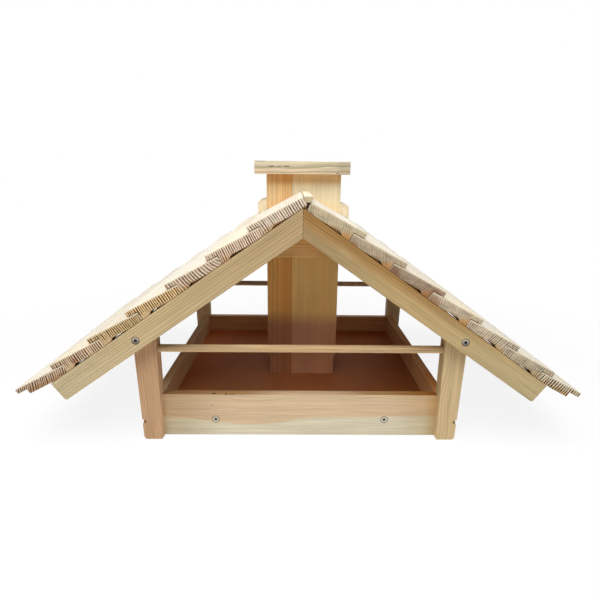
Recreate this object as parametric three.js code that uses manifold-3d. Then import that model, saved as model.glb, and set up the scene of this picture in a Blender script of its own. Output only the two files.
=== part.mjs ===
// A wooden bird table: a shallow seed tray on four posts under a pitched roof of lapped boards,
// with a square seed silo that stands on the tray and comes out through the ridge.
// Millimetres, +Z up, X across the gable, Y from the front gable (-Y) to the back gable (+Y).
// The origin is in the middle of the four feet, on the surface that the table stands on.

import * as THREE from 'three';
import { mergeVertices } from 'three/addons/utils/BufferGeometryUtils.js';
import Module from 'manifold-3d';

const wasm = await Module();
wasm.setup();

// Clearances
const woodGap = 0.3;           // between turned or let-in pieces that rest on each other
const overrun = 5;             // how far a cutting shape runs past the wood that it cuts

// Tray and posts
const clearWidth = 368;        // between the left and right posts' inner faces
const frameDepth = 380;        // over the front and back faces of the posts
const boardThickness = 12;     // tray boards, silo panels and gussets
const trayBoardHeight = 60;
const trayBoardLift = 1;       // under the tray boards
const trayBoardSetback = 10;   // tray board's outer face behind the posts' outer face
const floorThickness = 12;
const floorLift = 18.3;        // under the tray floor
const postDepth = 18;
const postFootWidth = 25;
const postLean = THREE.MathUtils.degToRad(1.67);   // outer face, so the post widens upwards
const postTopDrop = 2;         // post's top below the rafter's top edge, square to the slope
const footChamferWidth = 2;    // at the foot's outer edge
const footChamferHeight = 3.5;
const footEasing = 1.5;        // at the foot's inner edge

// Perches
const perchRadius = 5;
const perchHeightShare = 0.575; // of the way from the tray board's top edge to the post's top
const perchSetback = 8;        // centre line behind the posts' outer face
const perchLetIn = 8;          // into a blind hole in each post
const perchSides = 24;

// Rafters and gussets
const roofPitch = THREE.MathUtils.degToRad(35);
const ridgeHeight = 308.6;     // where the rafters' top edges meet
const rafterWidth = 28;        // square to the slope
const rafterThickness = 19;
const rafterEndRadius = 3;
const gussetDrop = 60.1;       // from the ridge down to the gusset's lower edge
const gussetEndHeight = 5.8;   // upright cut at each end of the gusset
const gussetInset = 1.5;       // below the rafters' top edges

// Roof boards
const boardsPerSlope = 7;
const lapPitch = 60;           // from one board's upper end to the next, along the slope
const lapShift = 5.5;          // the covering lies this far to the right, along both slopes
const lapTilt = THREE.MathUtils.degToRad(7);       // each board lies flatter than the rafter
const lapGap = 0.8;            // between a nose and the board that it covers
const roofBoardThickness = 13;
const seatLength = 21.5;       // bevel at the upper end that lies on the rafter
const heelLength = 10;         // of the body's lower end, which lies on the rafter
const heelRamp = 4.5;          // from the heel up to the board's underside
const noseLength = 15;         // from the shoulder to the tip
const eavesBodyLength = 52.5;  // the lowest board's body, which has no heel, before the shift
const eavesNoseLength = 13.8;
const noseRadius = 1.6;        // eased upper edge of the tip

// Ridge strips, which lie between the two top boards' upper ends
const ridgeStripWidth = 9.7;
const ridgeStripHeight = 7;
const ridgeStripSeatShare = 0.39; // height of the bevels that lie on the boards, of the width
const ridgeStripInset = 3;     // behind the roof boards' ends

// Seed silo
const siloWidth = 109;
const siloDepth = 90;
const siloShift = 3.5;         // the silo stands this far to the right of the ridge
const siloRise = 36.7;         // silo's top above the ridge
const siloFootStep = 3;        // the foot is narrower by this at each side
const siloFootHeight = 26;     // straight part of the narrower foot
const siloShoulder = 12;       // height of the curve from the foot to the full width
const siloFootRadius = 2.5;
const outletHeight = 34;       // opening under each side panel
const roofCutGap = 0.8;        // round the silo where it passes through the roof

// Trims beside the silo
const trimWidth = 13;
const trimHeight = 15;         // against the silo, above the roof board
const trimSlope = THREE.MathUtils.degToRad(17);

// Lid
const lidOverhang = 14;        // past the silo, all round
const lidShift = 2.5;          // the lid's board lies this far to the left on the silo
const lidThickness = 18;
const lidBlockThickness = 12;  // locating block that drops into the silo
const lidBlockGap = 1;         // all round the block

// Screws
const screwSides = 16;
const screwHeadRadius = 4.4;
const screwShankRadius = 2;
const screwLength = 35;
const screwRim = 0.6;          // straight edge of the head above its cone
const screwTip = 5;
const socketLobes = 6;
const socketRadiusShare = 0.45; // of the head's radius
const socketDepthShare = 0.4;  // of the head's radius
const socketLobeShare = 0.16;  // of the socket's radius
const socketSides = 24;
const trayScrewOffset = 114.4; // tray screws from the middle of the tray board
const rafterScrewReach = 18.5; // from the post's inner face
const rafterScrewInset = 15.7; // from the rafter's top edge, square to the slope
const toeHeadRadius = 3.2;
const toeShankRadius = 1.7;
const toeBoreDepth = 7;        // from the post's corner to the sunk head
const toeHeightShare = 0.64;   // of the floor's thickness

const arcSteps = 6;

// Places that follow from the sizes
const halfClear = clearWidth / 2;
const halfFrame = frameDepth / 2;
const postBack = halfFrame - postDepth;
const trayBoardFace = halfFrame - trayBoardSetback;
const trayBoardInner = trayBoardFace - boardThickness;
const floorTop = floorLift + floorThickness;
const roofDepth = frameDepth + 2 * rafterThickness;
const siloTop = ridgeHeight + siloRise;
const siloHeight = siloTop - floorTop;
const siloInnerWidth = siloWidth - 2 * boardThickness;
const siloInnerDepth = siloDepth - 2 * boardThickness;
const cosPitch = Math.cos(roofPitch);
const sinPitch = Math.sin(roofPitch);
const tanPitch = Math.tan(roofPitch);

const rafterLength = (boardsPerSlope - 1) * lapPitch + seatLength;

// Height above the ground of a line parallel to the slope, `inset` below the rafters' top edge
const slopeHeight = (x, inset) => ridgeHeight - Math.abs(x) * tanPitch - inset / cosPitch;

// Finishes of the woods and the screws, made anew for each piece
function wood(color) {
  return new THREE.MeshStandardMaterial({ color, roughness: 0.75, metalness: 0 });
}

const materials = {
  post: () => wood(0xd9b083),
  trayBoard: () => wood(0xe2c08c),
  floor: () => new THREE.MeshStandardMaterial({ color: 0x5d3724, roughness: 0.45, metalness: 0 }),
  perch: () => wood(0xe6cd9a),
  rafter: () => wood(0xcfae74),
  gusset: () => wood(0xd3a566),
  roof: () => wood(0xead7ba),
  silo: () => wood(0xd9ad6e),
  trim: () => wood(0xe0bd88),
  lid: () => wood(0xe2cda6),
  screw: () => new THREE.MeshStandardMaterial({ color: 0xbfc2c6, roughness: 0.3, metalness: 1 }),
};

// A shape from [x, y] points, mirrored in x when side is -1
function outline(points, side = 1) {
  return new THREE.Shape(points.map(([x, y]) => new THREE.Vector2(side * x, y)));
}

// Points of a circle's arc
function arc(centreX, centreY, radius, from, to) {
  return Array.from({ length: arcSteps + 1 }, (_, i) => {
    const angle = from + (to - from) * i / arcSteps;
    return [centreX + radius * Math.cos(angle), centreY + radius * Math.sin(angle)];
  });
}

// Extrudes a shape drawn in X and Z along Y
function alongY(shape, from, to) {
  const geometry = new THREE.ExtrudeGeometry(shape, { depth: to - from, bevelEnabled: false });
  geometry.rotateX(Math.PI / 2);
  geometry.translate(0, to, 0);
  return geometry;
}

// A squared piece of wood between two corners
function block([x0, y0, z0], [x1, y1, z1]) {
  const geometry = new THREE.BoxGeometry(x1 - x0, y1 - y0, z1 - z0);
  geometry.translate((x0 + x1) / 2, (y0 + y1) / 2, (z0 + z1) / 2);
  return geometry;
}

// A geometry as a solid for joining and cutting, and back again
function toSolid(geometry) {
  const bare = geometry.clone();
  bare.deleteAttribute('normal');
  bare.deleteAttribute('uv');
  const merged = mergeVertices(bare);
  return new wasm.Manifold(new wasm.Mesh({
    numProp: 3,
    vertProperties: new Float32Array(merged.attributes.position.array),
    triVerts: new Uint32Array(merged.index.array),
  }));
}

function toGeometry(solid) {
  const mesh = solid.getMesh();
  const geometry = new THREE.BufferGeometry();
  geometry.setAttribute('position', new THREE.BufferAttribute(mesh.vertProperties, mesh.numProp));
  geometry.setIndex(new THREE.BufferAttribute(mesh.triVerts, 1));
  geometry.computeVertexNormals();
  return geometry;
}

// Adds a named mesh to a group at a place
function add(parent, name, geometry, material, position = [0, 0, 0]) {
  const mesh = new THREE.Mesh(geometry, material);
  mesh.name = name;
  mesh.position.set(...position);
  parent.add(mesh);
  return mesh;
}

// Cuts shapes, given in the table's own frame, out of a mesh wherever that mesh is placed
function cut(mesh, cutters) {
  mesh.updateWorldMatrix(true, false);
  const intoMesh = mesh.matrixWorld.clone().invert();
  const body = cutters.reduce(
    (solid, cutter) => solid.subtract(toSolid(cutter.clone().applyMatrix4(intoMesh))),
    toSolid(mesh.geometry),
  );
  mesh.geometry = toGeometry(body);
}

const postInnerTop = slopeHeight(halfClear, postTopDrop);
const table = new THREE.Group();
const sides = [['left', -1], ['right', 1]];
const ends = [['front', -1], ['back', 1]];

// Posts: the outer face leans out, the top is cut to the roof's slope behind the rafter
function postGeometry(side) {
  const lean = Math.tan(postLean);
  const footOuter = halfClear + postFootWidth;
  const apexLine = slopeHeight(0, postTopDrop);
  const topOuter = (footOuter + apexLine * lean) / (1 + tanPitch * lean);
  const points = [
    [footEasing, 0],
    [postFootWidth - footChamferWidth, 0],
    [postFootWidth + footChamferHeight * lean, footChamferHeight],
    [topOuter - halfClear, slopeHeight(topOuter, postTopDrop)],
    [0, postInnerTop],
    [0, footEasing],
  ];
  return alongY(outline(points, side), 0, postDepth);
}

const posts = [];
for (const [endName, end] of ends) {
  for (const [sideName, side] of sides) {
    const y = end < 0 ? -halfFrame : postBack;
    posts.push(add(table, `post_${endName}_${sideName}`, postGeometry(side), materials.post(),
      [side * halfClear, y, 0]));
  }
}

// Tray: front and back boards between the posts, side boards behind them, floor inside
const trayBoards = [];
for (const [endName, end] of ends) {
  const board = block([-halfClear, 0, 0], [halfClear, boardThickness, trayBoardHeight]);
  const y = end < 0 ? -trayBoardFace : trayBoardInner;
  trayBoards.push(add(table, `tray_board_${endName}`, board, materials.trayBoard(),
    [0, y, trayBoardLift]));
}
for (const [sideName, side] of sides) {
  const board = block([0, -postBack, 0], [boardThickness, postBack, trayBoardHeight]);
  const x = side < 0 ? -halfClear - boardThickness : halfClear;
  trayBoards.push(add(table, `tray_board_${sideName}`, board, materials.trayBoard(),
    [x, 0, trayBoardLift]));
}
const trayFloor = add(table, 'tray_floor',
  block([-halfClear, -trayBoardInner, 0], [halfClear, trayBoardInner, floorThickness]),
  materials.floor(), [0, 0, floorLift]);

// Perches: round rods let into blind holes in the posts
function perchGeometry(gap) {
  const length = clearWidth + 2 * (perchLetIn + gap);
  const rod = new THREE.CylinderGeometry(perchRadius + gap, perchRadius + gap, length, perchSides);
  rod.rotateZ(Math.PI / 2);
  return rod;
}

const trayBoardTop = trayBoardLift + trayBoardHeight;
const perchHeight = trayBoardTop + (postInnerTop - trayBoardTop) * perchHeightShare;
const perchHoles = [];
for (const [endName, end] of ends) {
  const place = [0, end * (halfFrame - perchSetback), perchHeight];
  add(table, `perch_${endName}`, perchGeometry(0), materials.perch(), place);
  perchHoles.push(perchGeometry(woodGap).translate(...place));
}

// Each slope is a group turned to the roof's pitch: its x runs down the slope from the ridge,
// its z stands square on the rafters' top edges
const slopes = sides.map(([, side]) => {
  const slope = new THREE.Group();
  slope.position.set(0, 0, ridgeHeight);
  slope.rotation.y = side * roofPitch;
  table.add(slope);
  return slope;
});

// Rafters: mitred together at the ridge, cut square at the eaves with a rounded lower corner
function rafterGeometry(side) {
  const mitre = (n) => woodGap / 2 / cosPitch - n * tanPitch;
  const points = [
    [mitre(0), 0],
    [mitre(-rafterWidth), -rafterWidth],
    ...arc(rafterLength - rafterEndRadius, rafterEndRadius - rafterWidth, rafterEndRadius,
      -Math.PI / 2, 0),
    [rafterLength, 0],
  ];
  return alongY(outline(points, side), 0, rafterThickness);
}

const rafters = [];
for (const [endName, end] of ends) {
  sides.forEach(([sideName, side], i) => {
    const y = end < 0 ? -halfFrame - rafterThickness : halfFrame;
    rafters.push(add(slopes[i], `rafter_${endName}_${sideName}`, rafterGeometry(side),
      materials.rafter(), [0, y, 0]));
  });
}

// Gussets: boards across the mitres on the rafters' inner faces
const gussetBottom = ridgeHeight - gussetDrop;
const gussetHalfWidth = (slopeHeight(0, gussetInset) - gussetBottom - gussetEndHeight) / tanPitch;
for (const [endName, end] of ends) {
  const points = [
    [-gussetHalfWidth, gussetBottom],
    [gussetHalfWidth, gussetBottom],
    [gussetHalfWidth, slopeHeight(gussetHalfWidth, gussetInset)],
    [0, slopeHeight(0, gussetInset)],
    [-gussetHalfWidth, slopeHeight(gussetHalfWidth, gussetInset)],
  ];
  const y = end < 0 ? -halfFrame : halfFrame - boardThickness;
  add(table, `gusset_${endName}`, alongY(outline(points), 0, boardThickness),
    materials.gusset(), [0, y, 0]);
}

// Roof boards: each is drawn lying flat, with its upper end at x = 0, and is turned by the lap's
// tilt. A bevelled seat and a heel stand on the rafters, and a rebated nose, as thick as the lap's
// step, covers the upper end of the next board down.
const sinTilt = Math.sin(lapTilt);
const cosTilt = Math.cos(lapTilt);
const boardSlope = roofPitch - lapTilt;
const tanBoard = Math.tan(boardSlope);
const roofBoardTop = roofBoardThickness - seatLength * sinTilt;
const noseUnderside = roofBoardTop - lapPitch * sinTilt + lapGap;

// The lowest boards make up for the shift, so that both eaves reach equally far
function roofBoardGeometry(side, isEaves) {
  const eavesBody = eavesBodyLength - side * lapShift * cosPitch / Math.cos(boardSlope);
  const shoulder = isEaves ? eavesBody : lapPitch * cosTilt - lapGap;
  const tip = shoulder + (isEaves ? eavesNoseLength : noseLength);
  const underside = -seatLength * sinTilt;
  const heel = isEaves
    ? [[shoulder, underside]]
    : [
      [shoulder - heelLength - heelRamp, underside],
      [shoulder - heelLength, -(shoulder - heelLength) * Math.tan(lapTilt)],
      [shoulder, -shoulder * Math.tan(lapTilt)],
    ];
  const points = [
    [0, 0],
    [seatLength * cosTilt, underside],
    ...heel,
    [shoulder, noseUnderside],
    [tip, noseUnderside],
    ...arc(tip - noseRadius, roofBoardTop - noseRadius, noseRadius, 0, Math.PI / 2),
    [0, roofBoardTop],
  ];
  return alongY(outline(points, side), -roofDepth / 2, roofDepth / 2);
}

const siloOpening = block(
  [siloShift - siloWidth / 2 - roofCutGap, -siloDepth / 2 - roofCutGap, floorTop],
  [siloShift + siloWidth / 2 + roofCutGap, siloDepth / 2 + roofCutGap, siloTop],
);

sides.forEach(([sideName, side], i) => {
  for (let k = 0; k < boardsPerSlope; k += 1) {
    const geometry = roofBoardGeometry(side, k === boardsPerSlope - 1);
    const board = add(slopes[i], `roof_board_${sideName}_${k + 1}`, geometry, materials.roof(),
      [side * (k * lapPitch + side * lapShift), 0, woodGap]);
    board.rotation.y = -side * lapTilt;
    cut(board, [siloOpening]);
  }
});

// Lower edge of a top board's upper end, from the ridge out along its slope, and its height
function upperCorner(side) {
  const along = side * lapShift;
  return [along * cosPitch + woodGap * sinPitch,
    ridgeHeight - along * sinPitch + woodGap * cosPitch];
}

// Ridge strips: their bevels lie on the boards' upper ends, in front of the silo and behind it
const [leftX, leftZ] = upperCorner(-1);
const [rightX, rightZ] = upperCorner(1);
const ridgeStripFoot = ridgeStripWidth / 2 - ridgeStripSeatShare * ridgeStripWidth * tanBoard;
const ridgeStripX = (rightX - leftX + (leftZ - rightZ) * tanBoard) / 2;
const ridgeStripZ = leftZ
  + (ridgeStripFoot - leftX - ridgeStripX + woodGap / Math.cos(boardSlope)) / tanBoard;
const ridgeStripLength = (roofDepth - siloDepth) / 2 - ridgeStripInset - roofCutGap;
for (const [endName, end] of ends) {
  const half = ridgeStripWidth / 2;
  const side = [
    [ridgeStripFoot, 0],
    [half, ridgeStripSeatShare * ridgeStripWidth],
    [half, ridgeStripHeight],
  ];
  const mirrored = side.map(([x, z]) => [-x, z]).reverse();
  const y = end < 0 ? -roofDepth / 2 + ridgeStripInset : siloDepth / 2 + roofCutGap;
  add(table, `ridge_strip_${endName}`,
    alongY(outline([...side, ...mirrored]), 0, ridgeStripLength),
    materials.trim(), [ridgeStripX, y, ridgeStripZ]);
}

// Silo: front and back panels over the full width, side panels between them that stop above
// the tray so that seed runs out to the left and right
function siloFaceGeometry() {
  const half = siloWidth / 2;
  const footHalf = half - siloFootStep;
  const curve = new THREE.CubicBezierCurve(
    new THREE.Vector2(footHalf, siloFootHeight),
    new THREE.Vector2(footHalf, siloFootHeight + siloShoulder / 2),
    new THREE.Vector2(half, siloFootHeight + siloShoulder / 2),
    new THREE.Vector2(half, siloFootHeight + siloShoulder),
  );
  const edge = [
    ...arc(footHalf - siloFootRadius, siloFootRadius, siloFootRadius, -Math.PI / 2, 0),
    ...curve.getPoints(arcSteps).map((point) => [point.x, point.y]),
    [half, siloHeight],
  ];
  const mirrored = edge.map(([x, z]) => [-x, z]).reverse();
  return alongY(outline([...edge, ...mirrored]), 0, boardThickness);
}

for (const [endName, end] of ends) {
  const y = end < 0 ? -siloDepth / 2 : siloDepth / 2 - boardThickness;
  add(table, `silo_panel_${endName}`, siloFaceGeometry(), materials.silo(),
    [siloShift, y, floorTop]);
}
for (const [sideName, side] of sides) {
  const panel = block([0, -siloInnerDepth / 2, outletHeight],
    [boardThickness, siloInnerDepth / 2, siloHeight]);
  const x = side < 0 ? -siloWidth / 2 : siloInnerWidth / 2;
  add(table, `silo_panel_${sideName}`, panel, materials.silo(), [siloShift + x, 0, floorTop]);
}

// Trims: strips on the top roof boards that cover the gap beside the silo
function roofTopHeight(x, side) {
  const [cornerX, cornerZ] = upperCorner(side);
  const run = x - cornerX - roofBoardTop * Math.sin(boardSlope);
  return cornerZ + roofBoardTop * Math.cos(boardSlope) - run * tanBoard;
}

for (const [sideName, side] of sides) {
  const inner = siloWidth / 2 + side * siloShift;
  const outer = inner + trimWidth;
  const lift = woodGap / Math.cos(boardSlope);
  const innerFoot = roofTopHeight(inner, side) + lift;
  const points = [
    [0, innerFoot],
    [trimWidth, roofTopHeight(outer, side) + lift],
    [trimWidth, innerFoot + trimHeight - trimWidth * Math.tan(trimSlope)],
    [0, innerFoot + trimHeight],
  ];
  add(table, `roof_trim_${sideName}`, alongY(outline(points, side), -siloDepth / 2, siloDepth / 2),
    materials.trim(), [side * inner, 0, 0]);
}

// Lid: a board that lies on the silo, with a block under it that keeps it in place
const lid = new THREE.Group();
lid.position.set(siloShift, 0, siloTop);
table.add(lid);
const lidHalfWidth = siloWidth / 2 + lidOverhang;
const lidHalfDepth = siloDepth / 2 + lidOverhang;
add(lid, 'lid', block([-lidHalfWidth, -lidHalfDepth, 0], [lidHalfWidth, lidHalfDepth, lidThickness]),
  materials.lid(), [-lidShift, 0, 0]);
const lidBlockHalfWidth = siloInnerWidth / 2 - lidBlockGap;
const lidBlockHalfDepth = siloInnerDepth / 2 - lidBlockGap;
add(lid, 'lid_block', block([-lidBlockHalfWidth, -lidBlockHalfDepth, -lidBlockThickness],
  [lidBlockHalfWidth, lidBlockHalfDepth, 0]), materials.lid());

// Screws, drawn with the head's face at y = 0 and the shank along +Y
const boardScrew = { head: screwHeadRadius, shank: screwShankRadius, sunk: overrun };
const toeScrew = { head: toeHeadRadius, shank: toeShankRadius, sunk: toeBoreDepth + overrun };

function screwGeometry({ head, shank }) {
  const profile = [
    [0, 0],
    [head, 0],
    [head, screwRim],
    [shank, screwRim + head - shank],
    [shank, screwLength - screwTip],
    [0, screwLength],
  ].map(([x, y]) => new THREE.Vector2(x, y));
  const body = new THREE.LatheGeometry(profile, screwSides);
  const socket = Array.from({ length: socketSides }, (_, i) => {
    const angle = i / socketSides * Math.PI * 2;
    const radius = head * socketRadiusShare * (1 + socketLobeShare * Math.cos(socketLobes * angle));
    return [radius * Math.cos(angle), radius * Math.sin(angle)];
  });
  const recess = alongY(outline(socket), -overrun, head * socketDepthShare);
  return toGeometry(toSolid(body).subtract(toSolid(recess)));
}

// The hole that such a screw needs, with a clearance round it and open in front of its head
function screwHole({ head, shank, sunk }) {
  const wideHead = head + woodGap;
  const wideShank = shank + woodGap;
  const profile = [
    [0, -sunk],
    [wideHead, -sunk],
    [wideHead, screwRim],
    [wideShank, screwRim + wideHead - wideShank],
    [wideShank, screwLength + woodGap],
    [0, screwLength + woodGap],
  ].map(([x, y]) => new THREE.Vector2(x, y));
  return new THREE.LatheGeometry(profile, screwSides);
}

// Puts a screw with its head's face at a point, driven along a direction in plan, and returns
// its hole
function drive(name, screw, point, [dx, dy]) {
  const mesh = add(table, name, screwGeometry(screw), materials.screw(), point);
  mesh.rotation.z = Math.atan2(-dx, dy);
  mesh.updateMatrix();
  return screwHole(screw).applyMatrix4(mesh.matrix);
}

// Tray screws run into the floor's edge, rafter screws into the posts, and toe screws from a
// bored recess in each post's outer corner diagonally into the corner of the tray
const floorMiddle = floorLift + floorThickness / 2;
const rafterScrewX = halfClear + rafterScrewReach;
const rafterScrewZ = slopeHeight(rafterScrewX, rafterScrewInset);
const rafterFace = halfFrame + rafterThickness;
const toeHeight = floorLift + floorThickness * toeHeightShare;
const toeStep = toeBoreDepth * Math.SQRT1_2;
const toeX = halfClear + postFootWidth + toeHeight * Math.tan(postLean) - toeStep;
const toeY = halfFrame - toeStep;

const screwHoles = [];
for (const [endName, end] of ends) {
  for (const [sideName, side] of sides) {
    const place = `${endName}_${sideName}`;
    const inward = [0, -end];
    screwHoles.push(
      drive(`tray_screw_${place}`, boardScrew,
        [side * trayScrewOffset, end * trayBoardFace, floorMiddle], inward),
      drive(`rafter_screw_${place}`, boardScrew,
        [side * rafterScrewX, end * rafterFace, rafterScrewZ], inward),
      drive(`post_screw_${place}`, toeScrew, [side * toeX, end * toeY, toeHeight], [-side, -end]),
    );
  }
}

posts.forEach((post) => cut(post, [...perchHoles, ...screwHoles]));
[...trayBoards, trayFloor, ...rafters].forEach((piece) => cut(piece, screwHoles));

export default table;
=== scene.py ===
import math

import bpy
from mathutils import Matrix, Vector


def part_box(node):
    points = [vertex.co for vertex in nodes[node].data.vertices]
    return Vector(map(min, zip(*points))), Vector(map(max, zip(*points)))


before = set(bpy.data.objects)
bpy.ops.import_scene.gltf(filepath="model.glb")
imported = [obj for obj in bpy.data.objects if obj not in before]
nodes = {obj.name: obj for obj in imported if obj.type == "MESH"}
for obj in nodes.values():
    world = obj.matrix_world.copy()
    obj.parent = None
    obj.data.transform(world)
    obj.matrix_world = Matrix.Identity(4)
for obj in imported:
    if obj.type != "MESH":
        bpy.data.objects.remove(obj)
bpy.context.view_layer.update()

# Objects are in metres. A material places its detail in millimetres from its piece's middle.
MILLIMETRES = 1000           # in a metre
ALONG_X, ALONG_Y, ALONG_Z = Vector((1, 0, 0)), Vector((0, 1, 0)), Vector((0, 0, 1))
SIDES = {"left": -1, "right": 1}
PLACES = ("front", "back")
ROOF_PITCH = math.radians(35)
BOARD_SLOPE = math.radians(28)      # the lapped boards lie less steeply than the rafters
WHITE = (1, 1, 1, 1)


def tint(code):
    """A linear colour from a hexadecimal screen colour."""
    parts = [int(code[i:i + 2], 16) / 255 for i in (0, 2, 4)]
    return tuple(c / 12.92 if c <= 0.04045 else ((c + 0.055) / 1.055) ** 2.4 for c in parts) + (1,)


class Graph:
    """Adds nodes to a shader tree. A value is a number, a tuple or another node's socket."""

    def __init__(self, tree):
        self.tree = tree

    def put(self, socket, value):
        if isinstance(value, bpy.types.NodeSocket):
            self.tree.links.new(value, socket)
        else:
            socket.default_value = value

    def add(self, kind, values=None, **settings):
        node = self.tree.nodes.new("ShaderNode" + kind)
        for key, value in settings.items():
            setattr(node, key, value)
        for key, value in (values or {}).items():
            self.put(node.inputs[key], value)
        return node

    def math(self, operation, *values, clamp=False):
        node = self.add("Math", dict(enumerate(values)), operation=operation, use_clamp=clamp)
        return node.outputs[0]

    def vector(self, operation, *values):
        node = self.add("VectorMath", dict(enumerate(values)), operation=operation)
        return node.outputs["Value" if operation in ("DOT_PRODUCT", "LENGTH") else "Vector"]

    def scaled(self, vector, factor):
        return self.add("VectorMath", {0: vector, "Scale": factor}, operation="SCALE").outputs[0]

    def split(self, vector):
        return self.add("SeparateXYZ", {0: vector}).outputs

    def hypotenuse(self, first, second):
        squares = [self.math("POWER", value, 2) for value in (first, second)]
        return self.math("POWER", self.math("ADD", *squares), 0.5)

    def step(self, value, begin, full):
        """0 up to begin, 1 from full on and smooth between. Full may be the smaller one."""
        values = {0: value, 1: begin, 2: full}
        return self.add("MapRange", values, interpolation_type="SMOOTHSTEP").outputs[0]

    def between(self, share, first, second):
        """A number from the first to the second, as share goes from 0 to 1."""
        return self.add("Mix", {0: share, 2: first, 3: second}).outputs[0]

    def mix(self, share, first, second):
        """The same for colours."""
        values = {0: share, 6: first, 7: second}
        return self.add("Mix", values, data_type="RGBA").outputs[2]

    def tinged(self, colour, share, factors):
        """The colour, times red, green and blue factors where share is 1."""
        return self.mix(share, colour, self.vector("MULTIPLY", colour, factors))

    def shaded(self, colour, along, shades):
        """Tinges that begin at one place along an axis and are full at another."""
        for begin, full, factors in shades:
            colour = self.tinged(colour, self.step(along, begin, full), factors)
        return colour

    def noise(self, vector, detail):
        values = {"Vector": vector, "Scale": 1, "Detail": detail, "Roughness": 0.5}
        return self.add("TexNoise", values).outputs[0]

    def wave(self, value):
        values = {"W": value, "Scale": 1, "Detail": 1}
        return self.add("TexNoise", values, noise_dimensions="1D").outputs[0]


# ---------------------------------------------------------------- solid wood

WOOD_INPUTS = (
    ("Place", "Vector", (0, 0, 0)),      # mm: across the board, through it, along the grain
    ("End", "Float", 0),                 # 1 on sawn ends
    ("Pith", "Vector", (0, 0, 0)),       # mm: the tree's centre, and the seed of the noises
    ("Spacing", "Float", 3.5),           # mm from ring to ring
    ("Uneven", "Float", 1.2),            # how much the rings' widths differ
    ("Wander", "Float", 8),              # mm by which the rings stray over the whole board
    ("Ripple", "Float", 2),              # mm by which they stray within a hand's breadth
    ("Drift", "Float", 0),               # taper of the trunk
    ("Bend", "Float", 0),                # mm by which a knot pushes the rings aside
    ("Heart", "Color", WHITE),
    ("Sap", "Color", WHITE),
    ("Late", "Color", WHITE),            # the rings' darker part
    ("Sawn", "Color", WHITE),            # the ends' lighter part
    ("Edge", "Float", 400),              # mm from the pith to the sapwood
    ("Edge width", "Float", 1.6),        # mm over which one turns into the other
    ("Rings", "Float", 0.5),             # how strongly the rings show on long faces
    ("End rings", "Float", 0.9),         # and on ends
    ("Fibre", "Float", 0.2),
    ("Blotch", "Float", 0.2),
)
PATCHES = {                  # mm across the grain, mm along it, octaves of the noise
    "wander": (70, 420, 1),
    "ripple": (24, 90, 2),
    "streak": (2.6, 75, 3),
    "broken": (3, 60, 3),    # where an end's rings fade
    "fine": (0.9, 36, 3),
    "broad": (6, 240, 2),
    "blotch": (38, 150, 2),
    "warm": (24, 110, 2),
}
FACE_RISE = (0.22, 0.8)      # where in a ring its late wood begins and is full, on long faces
END_RISE = (0.36, 0.62)      # and on ends
RING_FALL = (1, 0.9)         # it stops at once before the next ring
WEAKEST_RING = 0.4
SAP_FADE = -0.7              # the sapwood's rings are that much weaker
WARM = (1.08, 0.93, 0.7)


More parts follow.
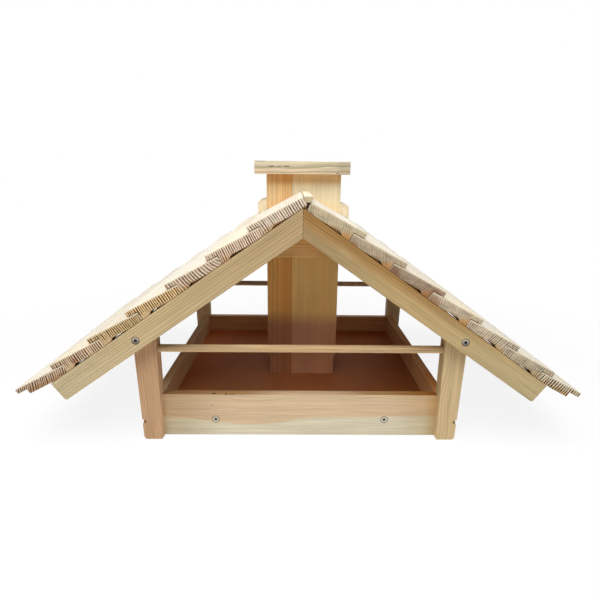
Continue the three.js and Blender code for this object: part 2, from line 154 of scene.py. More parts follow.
def build_wood():
    """Rings round a pith, crossed by fibres and blotches, in the piece's own millimetres."""
    tree = bpy.data.node_groups.new("solid_wood", "ShaderNodeTree")
    for name, kind, value in WOOD_INPUTS:
        socket = tree.interface.new_socket(name, in_out="INPUT", socket_type="NodeSocket" + kind)
        socket.default_value = value
    for name, kind in (("Color", "Color"), ("Roughness", "Float"), ("Height", "Float")):
        tree.interface.new_socket(name, in_out="OUTPUT", socket_type="NodeSocket" + kind)
    g = Graph(tree)
    given = tree.nodes.new("NodeGroupInput").outputs
    place, end = given["Place"], given["End"]
    p, q, s = g.split(place)
    pith_p, pith_q, seed = g.split(given["Pith"])
    shift = g.scaled((13.7, 7.9, 23.3), seed)

    def patches(name):
        """Noise from -0.5 to 0.5 with patches of that size."""
        across, along, detail = PATCHES[name]
        sized = g.vector("MULTIPLY", place, (1 / across, 1 / across, 1 / along))
        return g.math("SUBTRACT", g.noise(g.vector("ADD", sized, shift), detail), 0.5)

    radius = g.hypotenuse(g.math("SUBTRACT", p, pith_p), g.math("SUBTRACT", q, pith_q))
    radius = g.math("MULTIPLY_ADD", patches("wander"), given["Wander"], radius)
    radius = g.math("MULTIPLY_ADD", patches("ripple"), given["Ripple"], radius)
    radius = g.math("MULTIPLY_ADD", given["Drift"], s, radius)
    radius = g.math("ADD", radius, given["Bend"])
    turn = g.math("DIVIDE", radius, given["Spacing"])
    uneven = g.wave(g.math("MULTIPLY_ADD", turn, 0.23, seed))
    turn = g.math("MULTIPLY_ADD", uneven, given["Uneven"], turn)
    part = g.math("FRACT", turn)
    year = g.math("MULTIPLY_ADD", seed, 31, g.math("FLOOR", turn))
    year = g.add("TexWhiteNoise", {"W": year}, noise_dimensions="1D").outputs["Value"]
    late = g.between(end, g.step(part, *FACE_RISE), g.step(part, *END_RISE))
    late = g.math("MULTIPLY", late, g.step(part, *RING_FALL))
    late = g.math("MULTIPLY", late, g.math("MULTIPLY_ADD", year, 1 - WEAKEST_RING, WEAKEST_RING))

    streak = patches("streak")
    faded = g.between(end, g.math("MULTIPLY_ADD", streak, 1.6, 0.9),
        g.math("MULTIPLY_ADD", patches("broken"), 1.5, 0.95))
    contrast = g.math("MULTIPLY", g.between(end, given["Rings"], given["End rings"]), faded)
    beyond = g.math("DIVIDE", g.math("SUBTRACT", radius, given["Edge"]), given["Edge width"])
    sap = g.step(beyond, -1, 1)
    contrast = g.math("MULTIPLY", contrast, g.math("MULTIPLY_ADD", sap, SAP_FADE, 1))
    base = g.mix(end, g.mix(sap, given["Heart"], given["Sap"]), given["Sawn"])
    colour = g.mix(g.math("MULTIPLY", late, contrast, clamp=True), base, given["Late"])
    fine = patches("fine")
    fibre = g.math("ADD", g.math("ADD", fine, streak), patches("broad"))
    fibre = g.math("MULTIPLY", fibre, given["Fibre"])
    blotch = g.math("MULTIPLY", patches("blotch"), given["Blotch"])
    colour = g.scaled(colour, g.math("ADD", g.math("MULTIPLY_ADD", fibre, 1.6, 1), blotch))
    warm = g.math("MULTIPLY", g.math("ADD", patches("warm"), 0.5), given["Blotch"])

    out = tree.nodes.new("NodeGroupOutput").inputs
    g.put(out["Color"], g.tinged(colour, warm, WARM))
    rough = g.math("MULTIPLY_ADD", late, -0.12, 0.66)
    g.put(out["Roughness"], g.math("MULTIPLY_ADD", end, 0.18, rough))
    g.put(out["Height"], g.math("MULTIPLY_ADD", late, 0.12, fine))
    return tree


WOOD = build_wood()


def fresh(name):
    """A new material, its graph and its Principled shader."""
    material = bpy.data.materials.new(name)
    material.use_nodes = True
    g = Graph(material.node_tree)
    return material, g, material.node_tree.nodes["Principled BSDF"]


def finish(g, shader, colour, roughness, height, relief, depth):
    """Links colour, roughness and a bump of that strength and depth to the shader."""
    g.put(shader.inputs["Base Color"], colour)
    g.put(shader.inputs["Roughness"], roughness)
    bump = g.add("Bump", {"Strength": relief, "Distance": depth, "Height": height})
    g.put(shader.inputs["Normal"], bump.outputs[0])


WOOD_RELIEF = (0.5, 0.0003)
WOOD_GLOSS = 0.25


def finish_wood(g, shader, colour, roughness, height):
    finish(g, shader, colour, roughness, height, *WOOD_RELIEF)
    shader.inputs["Specular IOR Level"].default_value = WOOD_GLOSS


def dress(node, material):
    """Gives every material slot of a CAD node the same material."""
    for slot in nodes[node].material_slots:
        slot.material = material


def middle(node):
    low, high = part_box(node)
    return (low + high) / 2


def reach_of(node, axis):
    """The piece's least and greatest distance from its box's middle along an axis, in mm."""
    start = middle(node)
    along = [(vertex.co - start).dot(axis) * MILLIMETRES for vertex in nodes[node].data.vertices]
    return min(along), max(along)


def grain_place(g, node, grain, across):
    """The point in the piece's millimetres (across, through, along the grain) and the share of
    end grain on its face."""
    spot = g.add("TexCoord").outputs
    offset = g.vector("SUBTRACT", spot["Object"], tuple(middle(node)))
    turned = [g.vector("DOT_PRODUCT", offset, tuple(axis * MILLIMETRES))
        for axis in (across, grain.cross(across), grain)]
    place = g.add("CombineXYZ", dict(enumerate(turned))).outputs[0]
    facing = g.math("ABSOLUTE", g.vector("DOT_PRODUCT", spot["Normal"], tuple(grain)))
    return place, g.step(facing, 0.6, 0.85)


def wood(g, place, end, seed, **looks):
    """The wood group's outputs. Looks are its inputs by name, and colours are hexadecimal."""
    values = {"Place": place, "End": end, "Pith": (*looks.pop("Pith"), seed)}
    for other in ("Sawn", "Sap"):
        looks.setdefault(other, looks["Heart"])
    for key, value in looks.items():
        values[key.replace("_", " ")] = tint(value) if isinstance(value, str) else value
    node = g.add("Group")
    node.node_tree = WOOD
    for key, value in values.items():
        g.put(node.inputs[key], value)
    return node.outputs


def looking(g, upward):
    """1 on faces that look at the sky (upward 1) or at the ground (upward -1)."""
    z = g.split(g.add("TexCoord").outputs["Normal"])[2]
    return g.step(g.math("MULTIPLY", z, upward), 0.2, 0.5)


SCREW_HEAD = 0.0044          # radius
POST_SCREW_SHARE = 0.65      # how much of it a post's corner shows


def screw_places():
    """For each board, the centres and radii of the screw heads let into it."""
    places = {}
    for node in nodes:
        if "_screw_" not in node:
            continue
        kind, _, end_name, side_name = node.split("_")
        board = {"tray": f"tray_board_{end_name}", "rafter": f"rafter_{end_name}_{side_name}",
            "post": f"post_{end_name}_{side_name}"}[kind]
        low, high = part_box(node)
        x, _, z = (low + high) / 2
        y = low.y if end_name == "front" else high.y
        radius = SCREW_HEAD
        if kind == "post":
            x = low.x if side_name == "left" else high.x
            radius *= POST_SCREW_SHARE
        places.setdefault(board, []).append(((x, y, z), radius))
    return places


SCREW_PLACES = screw_places()
SCREW_SHADE_RING = (1.3, 1.02)     # painted shade of the countersink: its outer edge and where it is full, in head radii
SCREW_SHADE_RING_COLOUR = tint("4a3524")
SCREW_SHADE_RING_SHARE = 0.85
MARK_EDGE = (1.15, 0.6)      # the same for knots, cracks and stains, in their own radii
CREVICE_SHADE = (0.67, 0.51, 0.37)  # painted shade factors on faces that look towards other pieces, as in crevices


def timber(node, grain, across, seed, bends=(), marks=(), paint=None, shade_facing=0, **looks):
    """One board's own wood, with a seed of its own. A bend pushes the rings aside and a mark is a
    knot, crack or stain: each is centre, radii and amount or colour, in the piece's millimetres.
    Paint is the colour's last step, a function of graph, place, end and colour. Faces that look
    up (1) or down (-1), as chosen, get painted shade, the shade of crevices, and are dull."""
    material, g, shader = fresh(node)
    place, end = grain_place(g, node, grain, across)

    def reach(centre, radii):
        offset = g.vector("SUBTRACT", place, centre)
        return g.vector("LENGTH", g.vector("MULTIPLY", offset, tuple(1 / r for r in radii)))

    bend = 0.0
    for centre, radii, push in bends:
        near = g.math("EXPONENT", g.math("MULTIPLY", g.math("POWER", reach(centre, radii), 2), -0.5))
        bend = g.math("MULTIPLY_ADD", near, push, bend)
    made = wood(g, place, end, seed, Bend=bend, **looks)
    colour, roughness = made["Color"], made["Roughness"]
    if paint:
        colour = paint(g, place, end, colour)
    rag = g.noise(g.scaled(place, 0.7), 3) if marks else None
    for centre, radii, code in marks:
        ragged = g.math("MULTIPLY_ADD", g.math("SUBTRACT", rag, 0.5), 0.9, reach(centre, radii))
        colour = g.mix(g.step(ragged, *MARK_EDGE), colour, tint(code))
    # Painted shade of the countersink round each screw head
    for centre, radius in SCREW_PLACES.get(node, ()):
        away = g.vector("LENGTH", g.vector("SUBTRACT", g.add("TexCoord").outputs["Object"], centre))
        countersink_shade = g.step(away, *(radius * ratio for ratio in SCREW_SHADE_RING))
        colour = g.mix(g.math("MULTIPLY", countersink_shade, SCREW_SHADE_RING_SHARE), colour, SCREW_SHADE_RING_COLOUR)
    # Painted shade on faces that look up or down towards other pieces, which are also dull
    if shade_facing:
        shaded_face = looking(g, shade_facing)
        colour = g.tinged(colour, shaded_face, CREVICE_SHADE)
        roughness = g.math("MAXIMUM", roughness, shaded_face)
    finish_wood(g, shader, colour, roughness, made["Height"])
    dress(node, material)


# ---------------------------------------------------------------- roof

PALE_BOARD = {"Rings": 0.2, "Wander": 5, "Ripple": 1.2, "End_rings": 1.6, "Fibre": 0.17,
    "Blotch": 0.2, "Uneven": 0.9}
PALE_HEARTS = ("efe9dc", "f2e8d3", "ece3d4", "f1ebdc")      # neighbours down the slope differ
BOARDS = {
    ("left", 1): {"Pith": (110, -14), "Spacing": 3.0, "Sawn": "eedecb", "Late": "6b5546"},
    ("left", 2): {"Pith": (220, 10), "Spacing": 2.7, "Sawn": "efd7c1", "Late": "5e4030"},
    ("left", 3): {"Pith": (-43, 9), "Spacing": 3.7, "Sawn": "e3ceb6", "Late": "5f4a3d",
        "Wander": 2},
    ("left", 4): {"Pith": (-240, 12), "Spacing": 2.9, "Sawn": "efce99", "Late": "4d290e"},
    ("left", 5): {"Pith": (200, -22), "Spacing": 2.8, "Sawn": "dcc091", "Late": "4f3416"},
    ("left", 6): {"Pith": (-260, 0), "Spacing": 3.0, "Sawn": "e1c7a8", "Late": "48261a"},
    ("left", 7): {"Pith": (90, 34), "Spacing": 2.8, "Sawn": "d3bba3", "Late": "4e2b22"},
    ("right", 1): {"Pith": (-150, 60), "Spacing": 2.7, "Sawn": "c8b99d", "Late": "857760",
        "End_rings": 0.55},
    ("right", 2): {"Pith": (-170, 90), "Spacing": 2.7, "Sawn": "bbaa92", "Late": "85745d",
        "End_rings": 0.6},
    ("right", 3): {"Pith": (-150, -60), "Spacing": 2.7, "Sawn": "ad9983", "Late": "7b635b",
        "End_rings": 0.9},
    ("right", 4): {"Pith": (-190, 50), "Spacing": 2.7, "Sawn": "cabba3", "Late": "847165",
        "End_rings": 0.65},
    ("right", 5): {"Pith": (170, 40), "Spacing": 2.7, "Sawn": "decdb5", "Late": "574840",
        "End_rings": 1.1},
    ("right", 6): {"Pith": (190, 20), "Spacing": 2.7, "Sawn": "d0c2a7", "Late": "62524d",
        "End_rings": 1.0},
    ("right", 7): {"Pith": (-120, -14), "Spacing": 3.4, "Sawn": "e8d8bb", "Late": "3b3029",
        "End_rings": 1.8},
}
RIGHT_SEED = 7               # the right boards' seeds follow the left ones'

# Round spots on the ends, in mm: from the board's upper end, above its underside, radius.
# Near the upper end they are partly stains, partly painted shade under the board above.
RED = {("right", 1): [(4, 3, 8)], ("right", 2): [(6, 4, 9)], ("right", 3): [(5, 6, 12), (62, 9, 9)],
    ("right", 4): [(6, 5, 13)], ("left", 6): [(42, 7, 6)]}
RED_TINGE = (0.76, 0.56, 0.48)
# Painted warm shade at the heel, in the wedge between board and rafter
HEEL_SHADE = (56, 1, 12)
HEEL_SHADE_TINGE = (1.02, 0.8, 0.58)
SHADED_HEELS = [("right", number) for number in (1, 2, 3, 4)]
STAIN_AND_SHADE_CORE = 0.4             # the part of the radius within which a spot, stain or painted shade, is full

# Painted shade and warm bounce light on an end's lower edge, to a ragged height of some millimetres
SHADED_LOW_EDGE = (3.5, 0)
SHADED_LOW_EDGE_RAG = -7
SHADED_LOW_EDGE_SHARE = 0.8
SHADED_LOW_EDGE_TINGE = (0.84, 0.64, 0.41)
SHADED_LOW_EDGE_PLAIN = tint("cfb488")
PLAIN_EDGES = [("left", number) for number in (4, 5, 6)]

CLOUD = (0.85, 0.56)         # lighter and darker patches on the right boards' ends
CLOUD_SIZE = (0.07, 0.2, 0.07)
ARRIS = (2.4, 0.6)           # mm under the end's upper edge
ARRIS_SHARE = 0.6
ARRIS_COLOUR = tint("f1e4ca")
FRONT = (-120, -209)         # mm from the middle, where the boards turn yellower
FRONT_SHARE = 0.4
FRONT_TINGE = (1.0, 0.97, 0.86)


def board_paint(board, node, down):
    """The paint of a roof board, given as its side and number: painted shade and warm bounce
    light on its ends' lower edge, stains and painted shade in spots, a pale upper arris on its
    ends, and yellower wood near its front."""
    side = SIDES[board[0]]
    underside, upper = reach_of(node, ALONG_Y.cross(down) * -side)
    top, _ = reach_of(node, down)
    thickness = upper - underside
    stains_and_shade = [(spot, RED_TINGE) for spot in RED.get(board, ())]
    if board in SHADED_HEELS:
        stains_and_shade.append((HEEL_SHADE, HEEL_SHADE_TINGE))

    def paint(g, place, end, colour):
        p, q, s = g.split(place)
        height = g.math("MULTIPLY_ADD", q, -side, -underside)
        blot = g.noise(g.scaled(place, 0.09), 2)
        # Painted shade and warm bounce light along the end's lower edge
        low = g.step(g.math("MULTIPLY_ADD", blot, SHADED_LOW_EDGE_RAG, height), *SHADED_LOW_EDGE)
        low = g.math("MULTIPLY", g.math("MULTIPLY", low, end), SHADED_LOW_EDGE_SHARE)
        if board in PLAIN_EDGES:
            colour = g.mix(low, colour, SHADED_LOW_EDGE_PLAIN)
        else:
            colour = g.tinged(colour, low, SHADED_LOW_EDGE_TINGE)
        if side > 0:
            cloud = g.noise(g.vector("MULTIPLY", place, CLOUD_SIZE), 3)
            colour = g.mix(end, colour, g.scaled(colour, g.math("MULTIPLY_ADD", cloud, *CLOUD)))
        arris = g.step(height, *(thickness - depth for depth in ARRIS))
        arris = g.math("MULTIPLY", g.math("MULTIPLY", arris, end), ARRIS_SHARE)
        colour = g.mix(arris, colour, ARRIS_COLOUR)
        front = g.math("MULTIPLY", g.step(s, *FRONT), FRONT_SHARE)
        colour = g.tinged(colour, front, FRONT_TINGE)
        # Stains, and painted shade at the heels and under the board above
        for (along, above, radius), factors in stains_and_shade:
            away = g.add("CombineXYZ", {0: g.math("SUBTRACT", p, top + along),
                1: g.math("SUBTRACT", height, above)}).outputs[0]
            near = g.step(g.vector("LENGTH", away), radius, radius * STAIN_AND_SHADE_CORE)
            colour = g.tinged(colour, g.math("MULTIPLY", near, end), factors)
        return colour

    return paint


for board, looks in BOARDS.items():
    side_name, number = board
    side = SIDES[side_name]
    node = f"roof_board_{side_name}_{number}"
    down = Vector((side * math.cos(BOARD_SLOPE), 0, -math.sin(BOARD_SLOPE)))
    timber(node, ALONG_Y, down, number + RIGHT_SEED * (side > 0), shade_facing=-1,
        paint=board_paint(board, node, down),
        Heart=PALE_HEARTS[(number * 3 + side) % len(PALE_HEARTS)], **{**PALE_BOARD, **looks})

RAFTER = {"Rings": 0.6, "End_rings": 0.8, "Spacing": 2.9, "Uneven": 2, "Wander": 7,
    "Ripple": 2, "Fibre": 0.26, "Blotch": 0.24}
RAFTER_SIDE = {
    "left": {"Heart": "cfb78c", "Sap": "d5bf93", "Late": "8a6c40"},
    "right": {"Heart": "b58c50", "Sap": "c2a97a", "Late": "6f4a24", "Edge": 57, "Edge_width": 11,
        "Drift": 0.05, "Spacing": 2.3, "Fibre": 0.32},
}
RAFTER_SHADES = ((20, -190, (0.82, 0.8, 0.79)),      # browner towards the ridge
    (-20, 190, (1.04, 1.14, 1.27)))                  # paler towards the eaves
# Painted highlight on the rafters' lower face and arris
LOWER_FACE_HIGHLIGHT = (1.25, 1.25, 1.25)
SWIRL = ((-5, 0, -128), (5, 30, 9), 5)        # a small knot's curl under the front right rafter


def rafter_paint(g, place, end, colour):
    """The shades along the rafter, and a painted highlight on its lower face and arris."""
    colour = g.shaded(colour, g.split(place)[2], RAFTER_SHADES)
    return g.tinged(colour, looking(g, -1), LOWER_FACE_HIGHLIGHT)


for side_name, side in SIDES.items():
    down = Vector((side * math.cos(ROOF_PITCH), 0, -math.sin(ROOF_PITCH)))
    up = Vector((side * math.sin(ROOF_PITCH), 0, math.cos(ROOF_PITCH)))
    for place_name in PLACES:
        front = place_name == "front"
        timber(f"rafter_{place_name}_{side_name}", down, up, 20 + side + 5 * (not front),
            bends=[SWIRL] if front and side > 0 else (), paint=rafter_paint, shade_facing=1,
            Pith=(60, 14 if front else -40), **{**RAFTER, **RAFTER_SIDE[side_name]})

for number, place_name in enumerate(PLACES):
    timber(f"gusset_{place_name}", ALONG_X, ALONG_Z, 31 + number, Pith=(60, 30), Spacing=3.2,
        Heart="d9a868", Late="a06c34", Rings=0.55, Wander=5)

# ---------------------------------------------------------------- posts and perches

POST = {"Heart": "cba57f", "Late": "96694a", "Rings": 0.4, "Spacing": 2.5, "Wander": 12,
    "Ripple": 10, "Fibre": 0.24, "Blotch": 0.22}
RIGHT_POST = {"Heart": "dbc295", "Late": "ae8b5c"}
POST_COLOURS = {("front", "right"): RIGHT_POST, ("back", "right"): RIGHT_POST,
    ("back", "left"): {"Heart": "f2cfa2", "Late": "b98f66"}}
# Painted light on the front left post's face that looks right
INNER_FACE_LIGHT = (1.4, 1.5, 1.6)


def lit_inside(g, place, end, colour):
    """The front left post's face that looks right gets painted light."""
    rightward = g.split(g.add("TexCoord").outputs["Normal"])[0]
    return g.tinged(colour, g.step(rightward, 0.6, 0.9), INNER_FACE_LIGHT)


for number, side_name in enumerate(SIDES):
    for place_name in PLACES:
        post = place_name, side_name
        timber(f"post_{place_name}_{side_name}", ALONG_Z, ALONG_X,
            41 + number + 4 * (place_name == "back"), Pith=(-46, 40),
            paint=lit_inside if post == ("front", "left") else None,
            **{**POST, **POST_COLOURS.get(post, {})})

PERCH_LIGHT = ((1, -3.5, (1.5, 1.5, 1.5)),)         # painted light: the lower half is the paler one


def perch_paint(g, place, end, colour):
    # Painted light on the perch's lower half
    return g.shaded(colour, g.split(place)[0], PERCH_LIGHT)


for number, (place_name, heart) in enumerate(zip(PLACES, ("cbae85", "e2c8a2"))):
    timber(f"perch_{place_name}", ALONG_X, ALONG_Z, 51 + number, Pith=(14, 6), Spacing=2.2,
        Heart=heart, Late="8f6b44", Rings=0.6, Wander=4, Ripple=5, Fibre=0.3, paint=perch_paint)

# ---------------------------------------------------------------- tray

TRAY = {"Late": "ae7c50", "Rings": 0.3, "Spacing": 2.1, "Wander": 8, "Ripple": 9, "Fibre": 0.24,
    "Blotch": 0.2}
FRONT_BENDS = [((-16, 6, -62), (30, 30, 42), -11), ((16, 6, 60), (12, 30, 30), -5),
    ((-8, 6, -128), (16, 30, 24), -4), ((14, 6, -130), (8, 30, 22), 4)]
FRONT_MARKS = [((30, 3, -116), (1.6, 2.6, 3), "5c3a1e"), ((30, 4, -100), (1.2, 2.6, 1.8), "74492a"),
    ((30, 4, -92), (1, 2.2, 6), "8e6238"), ((14, 6, -119), (0.8, 3, 0.9), "9a6c45")]
FRONT_SHADES = ((-90, -178, (0.75, 0.69, 0.62)),     # painted shade at its ends, most at the left one
    (110, 178, (0.85, 0.79, 0.7)), (164, 184, (0.86, 0.76, 0.62)))

TOP_CENTRE = 10              # mm right of the middle, where the painted shade on the front board's top is lightest
TOP_FADE = (100, 10)         # mm to both sides of that, over which that shade lightens
TOP_RIGHT_RISE = (100, 185)
# Painted shade on the front board's top, under the roof
TOP_DEEP_SHADE, TOP_LIGHT_SHADE, TOP_RIGHT_SHADE = (0.5, 0.4, 0.26, 1), (0.84, 0.8, 0.8, 1), (0.47, 0.27, 0.09, 1)
# Painted light on the right board's top, and painted shade towards its front
RIGHT_TOP_LIGHT, RIGHT_TOP_FRONT_SHADE = (1.2, 1.2, 1.2, 1), (0.9, 0.62, 0.35, 1)
RIGHT_TOP_RISE = (-60, -150)


def front_board_paint(g, place, end, colour):
    """Painted shade at its ends, and painted shade on its top, deepest at its right end."""
    s = g.split(place)[2]
    away = g.math("ABSOLUTE", g.math("SUBTRACT", s, TOP_CENTRE))
    top = g.mix(g.step(away, *TOP_FADE), TOP_DEEP_SHADE, TOP_LIGHT_SHADE)
    top = g.mix(g.step(s, *TOP_RIGHT_RISE), top, TOP_RIGHT_SHADE)
    return g.shaded(g.tinged(colour, looking(g, 1), top), s, FRONT_SHADES)


def right_board_paint(g, place, end, colour):
    """Painted light on the top, and painted shade on it towards the front."""
    top = g.mix(g.step(g.split(place)[2], *RIGHT_TOP_RISE), RIGHT_TOP_LIGHT, RIGHT_TOP_FRONT_SHADE)
    return g.tinged(colour, looking(g, 1), top)


timber("tray_board_front", ALONG_X, ALONG_Z, 61, bends=FRONT_BENDS, marks=FRONT_MARKS,
    paint=front_board_paint, Pith=(70, 26), Edge=75, Heart="dfc6a3", Sap="e0d8be", **TRAY)
timber("tray_board_back", ALONG_X, ALONG_Z, 62, Pith=(80, -30), Edge=90, Heart="e8ba88",
    Sap="dfcfa8", **TRAY)
timber("tray_board_left", ALONG_Y, ALONG_Z, 63, Pith=(60, 40), Heart="f2dab2", **TRAY)
timber("tray_board_right", ALONG_Y, ALONG_Z, 64, Pith=(-60, 40), Heart="e8bd8c",
    paint=right_board_paint, **TRAY)

FILM = tint("a0603f"), tint("b97a4d")
FILM_RIGHT_SHADE = (-100, 200, (0.856, 0.744, 0.536))      # painted shade, browner to the right
FILM_LEFT_LIGHT = (-70, -170, (1.4, 1.4, 1.4))             # painted light beside the left board
FILM_BACK_LIGHT = (-100, 160)                              # and painted light towards the back
VENEER = tint("b98d5e"), tint("7d5230")
VENEER_THICKNESS = 1.33
FILM_RELIEF = (0.3, 0.0002)
FILM_GLOSS = 0.05


def plywood(node):
    """Film-faced plywood: smooth brown faces, layers of veneer at the edges."""
    material, g, shader = fresh(node)
    place, _ = grain_place(g, node, ALONG_X, ALONG_Y)
    deep, height, across = g.split(place)
    up = g.math("ABSOLUTE", g.split(g.add("TexCoord").outputs["Normal"])[2])
    cloud = g.noise(g.scaled(place, 0.02), 4)
    fleck = g.noise(g.scaled(place, 0.9), 3)
    # Painted light and shade across the floor: browner right, lighter left and back
    film = g.shaded(g.mix(cloud, *FILM), across, (FILM_RIGHT_SHADE, FILM_LEFT_LIGHT))
    film = g.scaled(film, g.math("MULTIPLY_ADD", g.step(deep, *FILM_BACK_LIGHT), 0.6, 0.84))
    film = g.scaled(film, g.math("MULTIPLY_ADD", fleck, 0.3, 0.85))
    ply = g.math("PINGPONG", height, VENEER_THICKNESS)
    edge = g.mix(g.step(ply, 0.4, 0.9), *VENEER)
    roughness = g.math("MULTIPLY_ADD", cloud, 0.2, 0.5)
    finish(g, shader, g.mix(g.step(up, 0.5, 0.8), edge, film), roughness, fleck, *FILM_RELIEF)
    shader.inputs["Specular IOR Level"].default_value = FILM_GLOSS
    dress(node, material)


plywood("tray_floor")

# ---------------------------------------------------------------- silo, trims and lid

SEAMS = {"front": -17.0, "back": 22}      # mm from the panel's middle to its glued joint
GLUE_WIDTH = 0.4
GLUE_SHARE = 0.6
GLUE = tint("7a4a24")
SILO = {"Heart": "ebdcb9", "Late": "c79a58", "Rings": 0.09, "Spacing": 4, "Wander": 9,
    "Uneven": 3, "Fibre": 0.15, "Blotch": 0.26}
SILO_RED = {"Heart": "e4c796", "Late": "ad7038", "Rings": 0.5, "Spacing": 3.4, "Wander": 4,
    "Uneven": 3, "Fibre": 0.2, "Blotch": 0.2}
DENSE = (-30, -12)                        # mm beside the joint, where the red board is darker
DENSE_SHARE = 0.45
DENSE_TINGE = (0.92, 0.68, 0.45)
SILO_SHADES = ((130, 60, (1.14, 0.86, 0.45)),        # painted warm shade below the roof
    (138, 150, (1.0, 0.79, 0.58)))                   # painted shadow under the lid
# Painted shade towards the silo's foot
FOOT_SHADE = (-44, -78)
FOOT_SHADE_TINGE, RED_FOOT_SHADE_TINGE = (0.6, 0.45, 0.7), (0.82, 0.92, 1.05)


def glued(node, seed, seam):
    """A panel of two boards glued edge to edge, paler above the roof: painted shade below it,
    under the lid and at the foot.
    """
    material, g, shader = fresh(node)
    place, end = grain_place(g, node, ALONG_Z, ALONG_X)
    first = wood(g, place, end, seed, Pith=(-60, 10), **SILO_RED)
    second = wood(g, place, end, seed + 0.5, Pith=(120, 40), **SILO)
    p, _, s = g.split(place)
    beyond = g.math("SUBTRACT", p, seam)
    pale, red = g.step(beyond, -0.1, 0.1), g.step(beyond, 0.1, -0.1)
    colour = g.mix(pale, first["Color"], second["Color"])
    dense = g.math("MULTIPLY", g.step(beyond, *DENSE), red)
    colour = g.tinged(colour, g.math("MULTIPLY", dense, DENSE_SHARE), DENSE_TINGE)
    glue = g.step(g.math("ABSOLUTE", beyond), GLUE_WIDTH, 0)
    colour = g.mix(g.math("MULTIPLY", glue, GLUE_SHARE), colour, GLUE)
    colour = g.shaded(colour, s, SILO_SHADES)
    foot_shade = g.step(s, *FOOT_SHADE)
    colour = g.tinged(colour, foot_shade, FOOT_SHADE_TINGE)
    colour = g.tinged(colour, g.math("MULTIPLY", foot_shade, red), RED_FOOT_SHADE_TINGE)
    height = g.math("SUBTRACT", g.between(pale, first["Height"], second["Height"]), glue)
    finish_wood(g, shader, colour, first["Roughness"], height)
    dress(node, material)


for number, place_name in enumerate(PLACES):
    glued(f"silo_panel_{place_name}", 71 + number, SEAMS[place_name])
    timber(f"ridge_strip_{place_name}", ALONG_Y, ALONG_X, 79 + 0.5 * number, Pith=(60, 24),
        Spacing=2.4, Heart="ece3cc", Sawn="cdbe9f", Late="957f58", Rings=0.2, End_rings=0.4,
        Wander=3)
for number, side_name in enumerate(SIDES):
    timber(f"silo_panel_{side_name}", ALONG_Z, ALONG_Y, 73 + number, Pith=(90, 30),
        **{**SILO, "Heart": "e8ca96"})
    timber(f"roof_trim_{side_name}", ALONG_Y, ALONG_X, 77 + number, Pith=(20, 24), Spacing=2.6,
        Heart="e8dabb", Late="a8926c", Rings=0.3, End_rings=0.35, Wander=4)

LID = {"Heart": "dacdb0", "Late": "847d5a", "Rings": 0.6, "End_rings": 0.8, "Spacing": 3,
    "Wander": 7, "Ripple": 3, "Fibre": 0.34, "Blotch": 0.16}
LID_LOW = ((1, -5, (1.06, 0.96, 0.93)),)             # a little redder low down
LID_RIGHT = ((45, 57, (0.8, 0.8, 0.8)),)             # darker at its right end
LID_CRACKS = [((-59, 1.8, -44), (4, 0.7, 5.5), "2c2117"), ((-59, 1.6, -34), (4, 0.5, 4), "4a3b28"),
    ((-59, 1.9, -22), (4, 0.7, 5), "30251a"), ((-59, 2.2, -29), (4, 0.4, 4), "6a5a42"),
    ((-59, 8.6, -60), (4, 0.6, 9), "6b6248"), ((-59, -7, 50), (4, 0.8, 2.5), "9a6a50")]


def lid_paint(g, place, end, colour):
    _, up, s = g.split(place)
    return g.shaded(g.shaded(colour, up, LID_LOW), s, LID_RIGHT)


timber("lid", ALONG_X, ALONG_Y, 81, marks=LID_CRACKS, paint=lid_paint, Pith=(20, 34), **LID)
timber("lid_block", ALONG_X, ALONG_Y, 82, Pith=(30, 40), **LID)

# ---------------------------------------------------------------- screws

ZINC_SHADES = tint("b3aa99"), tint("ebe2d0")
# Painted shade over a head, and in its socket and at its rim
HEAD_SHADE, SOCKET_SHADE = tint("5c5a58"), tint("3a342c")
RAFTER_HEAD_SHADE = 0.85
ZINC_RELIEF = (0.2, 0.0001)


def zinc(name, faced, shade_share=0.0):
    """Zinc-plated steel. A faced screw has its head in the XZ plane: its socket and rim get painted
    shade. A shaded one also gets painted shade over the head, most at the bottom."""
    material, g, shader = fresh(name)
    spot = g.add("TexCoord").outputs
    cloud = g.noise(g.scaled(spot["Object"], 900), 3)
    scratch = g.noise(g.vector("MULTIPLY", spot["Object"], (9000, 9000, 1500)), 2)
    colour = g.mix(cloud, *ZINC_SHADES)
    if faced:
        x, _, z = g.split(g.vector("SUBTRACT", spot["Generated"], (0.5, 0.5, 0.5)))
        radius = g.hypotenuse(x, z)
        # Painted shade in the socket and at the rim
        socket, rim_shade = g.step(radius, 0.27, 0.2), g.step(radius, 0.42, 0.5)
        recess_shade = g.math("MAXIMUM", g.math("MULTIPLY", socket, 0.95), g.math("MULTIPLY", rim_shade, 0.6))
        # Painted shade over the head, most at its bottom
        low = g.math("MULTIPLY_ADD", g.step(z, 0.25, -0.3), 0.6, 0.4)
        colour = g.mix(g.math("MULTIPLY", low, shade_share), colour, HEAD_SHADE)
        colour = g.mix(recess_shade, colour, SOCKET_SHADE)
    roughness = g.math("MULTIPLY_ADD", scratch, 0.25, 0.24)
    finish(g, shader, colour, roughness, scratch, *ZINC_RELIEF)
    shader.inputs["Metallic"].default_value = 1
    return material


ZINC = {"tray": zinc("zinc_tray", True), "rafter": zinc("zinc_rafter", True, RAFTER_HEAD_SHADE),
    "post": zinc("zinc_post", False)}
for node in nodes:
    if "_screw_" in node:
        dress(node, ZINC[node.split("_")[0]])

# ---------------------------------------------------------------- softened arrises

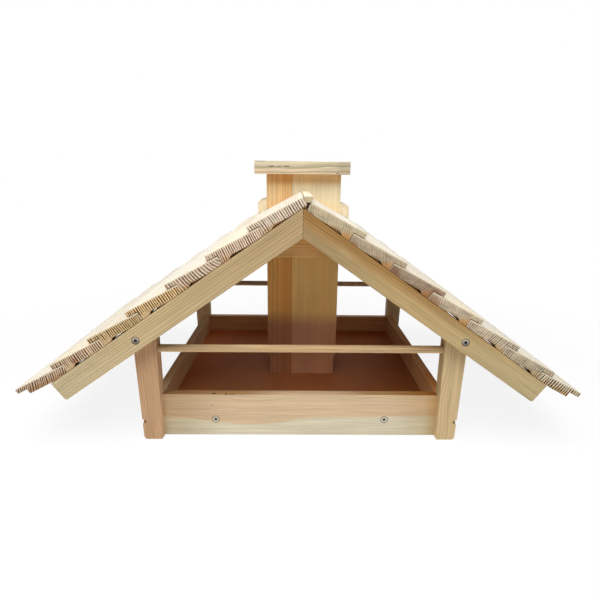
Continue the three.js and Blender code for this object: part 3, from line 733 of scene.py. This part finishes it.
WELD_REACH = 0.00001
FLAT_ANGLE = math.radians(0.6)
EDGE_ANGLE = math.radians(28)
BEVEL_SEGMENTS = 2
NORMAL_WEIGHT = 80
SOFT = {                     # widths by how a name begins: post and rafter screws go with the wood
    "roof_board": 0.0005,
    "rafter": 0.0006,
    "gusset": 0.0004,
    "post": 0.0008,
    "tray_board": 0.0007,
    "tray_floor": 0.0003,
    "silo": 0.0004,
    "roof_trim": 0.0005,
    "ridge_strip": 0.0004,
    "lid": 0.0007,
    "perch": 0.0006,
}


def soften(node, width):
    """Rounds a CAD node's sharp edges by that width, with modifiers only."""
    piece = nodes[node]
    weld = piece.modifiers.new("weld", "WELD")
    weld.merge_threshold = WELD_REACH
    flat = piece.modifiers.new("flat", "DECIMATE")
    flat.decimate_type = "DISSOLVE"
    flat.angle_limit = FLAT_ANGLE
    bevel = piece.modifiers.new("arris", "BEVEL")
    bevel.width = width
    bevel.segments = BEVEL_SEGMENTS
    bevel.limit_method = "ANGLE"
    bevel.angle_limit = EDGE_ANGLE
    bevel.miter_outer = "MITER_ARC"
    normals = piece.modifiers.new("normals", "WEIGHTED_NORMAL")
    normals.mode = "FACE_AREA"
    normals.weight = NORMAL_WEIGHT


for node in nodes:
    for start, width in SOFT.items():
        if node.startswith(start):
            soften(node, width)
            break

# ---------------------------------------------------------------- floor, light and camera

FLOOR_RADIUS = 14
FLOOR_SEEN = (0.96, 0.96, 0.96, 1)
FLOOR_BOUNCE = (0.62, 0.62, 0.62, 1)      # what it throws back at the object
FLOOR_GLOW = 0.88                         # plain white's share in the floor, where a shadow falls
FLOOR_GLOW_RISE = (0.45, 0.85)            # metres from the middle, over which it rises to 1
SKY = 0.08                                # the world's strength as a light
AIM = Vector((0, 0, 0.2))
LAMPS = (                                 # name, place, diameter, watts
    ("key", (-0.25, -0.95, 1.95), 2.0, 58),
    ("front_fill", (0.3, -2.6, 0.7), 1.6, 3),
    ("back_fill", (0.2, 2.4, 1.4), 1.8, 6),
)

# The camera, as solved from the photograph's edges and corners
EYE = (-0.009850, -0.733035, 0.345673)
YAW, TILT, ROLL = 0.01664726, 0.26981653, 0.01179258
SENSOR, LENS, SHIFT = 36, 27.3131, -0.001925
CLIP_START = 0.01


def studio_floor():
    """A pale disc that looks white to the camera and keeps the object's shadow."""
    bpy.ops.mesh.primitive_circle_add(vertices=96, radius=FLOOR_RADIUS, fill_type="NGON",
        location=(0, 0, 0))
    floor = bpy.context.object
    floor.name = "studio_floor"
    material, g, shader = fresh("studio_floor")
    shader.inputs["Roughness"].default_value = 0.9
    shader.inputs["Specular IOR Level"].default_value = 0.1
    away = g.vector("LENGTH", g.add("TexCoord").outputs["Object"])
    share = g.math("MULTIPLY_ADD", g.step(away, *FLOOR_GLOW_RISE), 1 - FLOOR_GLOW, FLOOR_GLOW)
    path = g.add("LightPath").outputs
    seen = g.math("MAXIMUM", path["Is Camera Ray"], path["Is Glossy Ray"])
    g.put(shader.inputs["Base Color"], g.mix(seen, FLOOR_BOUNCE, FLOOR_SEEN))
    glow = g.add("Emission", {"Color": WHITE, "Strength": 1})
    both = g.add("MixShader", {0: g.math("MULTIPLY", seen, share), 1: shader.outputs[0],
        2: glow.outputs[0]})
    output = material.node_tree.nodes["Material Output"]
    g.put(output.inputs["Surface"], both.outputs[0])
    floor.data.materials.append(material)


def lamp(name, place, size, power):
    data = bpy.data.lights.new(name, "AREA")
    data.shape = "DISK"
    data.size = size
    data.energy = power
    piece = bpy.data.objects.new(name, data)
    bpy.context.scene.collection.objects.link(piece)
    piece.location = place
    piece.rotation_euler = (AIM - Vector(place)).to_track_quat("-Z", "Y").to_euler()


def studio_light():
    """A world that is white where it is seen or mirrored and faint as a light, and the lamps."""
    world = bpy.data.worlds.new("studio")
    bpy.context.scene.world = world
    world.use_nodes = True
    g = Graph(world.node_tree)
    background = world.node_tree.nodes["Background"]
    path = g.add("LightPath").outputs
    seen = g.math("MAXIMUM", path["Is Camera Ray"], path["Is Glossy Ray"])
    seen = g.math("MAXIMUM", seen, path["Is Transmission Ray"])
    g.put(background.inputs["Strength"], g.between(seen, SKY, 1.0))
    background.inputs["Color"].default_value = WHITE
    for row in LAMPS:
        lamp(*row)


def photo_camera():
    data = bpy.data.cameras.new("photo")
    data.sensor_fit = "HORIZONTAL"
    data.sensor_width = SENSOR
    data.lens = LENS
    data.shift_x = SHIFT
    data.clip_start = CLIP_START
    forward = Vector((math.sin(YAW) * math.cos(TILT), math.cos(YAW) * math.cos(TILT),
        -math.sin(TILT)))
    level = Vector((math.cos(YAW), -math.sin(YAW), 0))
    upright = level.cross(forward)
    right = math.cos(ROLL) * level + math.sin(ROLL) * upright
    up = -math.sin(ROLL) * level + math.cos(ROLL) * upright
    columns = Matrix((right, up, -forward)).transposed()
    camera = bpy.data.objects.new("photo", data)
    bpy.context.scene.collection.objects.link(camera)
    camera.matrix_world = Matrix.Translation(EYE) @ columns.to_4x4()
    bpy.context.scene.camera = camera


studio_floor()
studio_light()
photo_camera()
bpy.context.scene.view_settings.view_transform = "Standard"
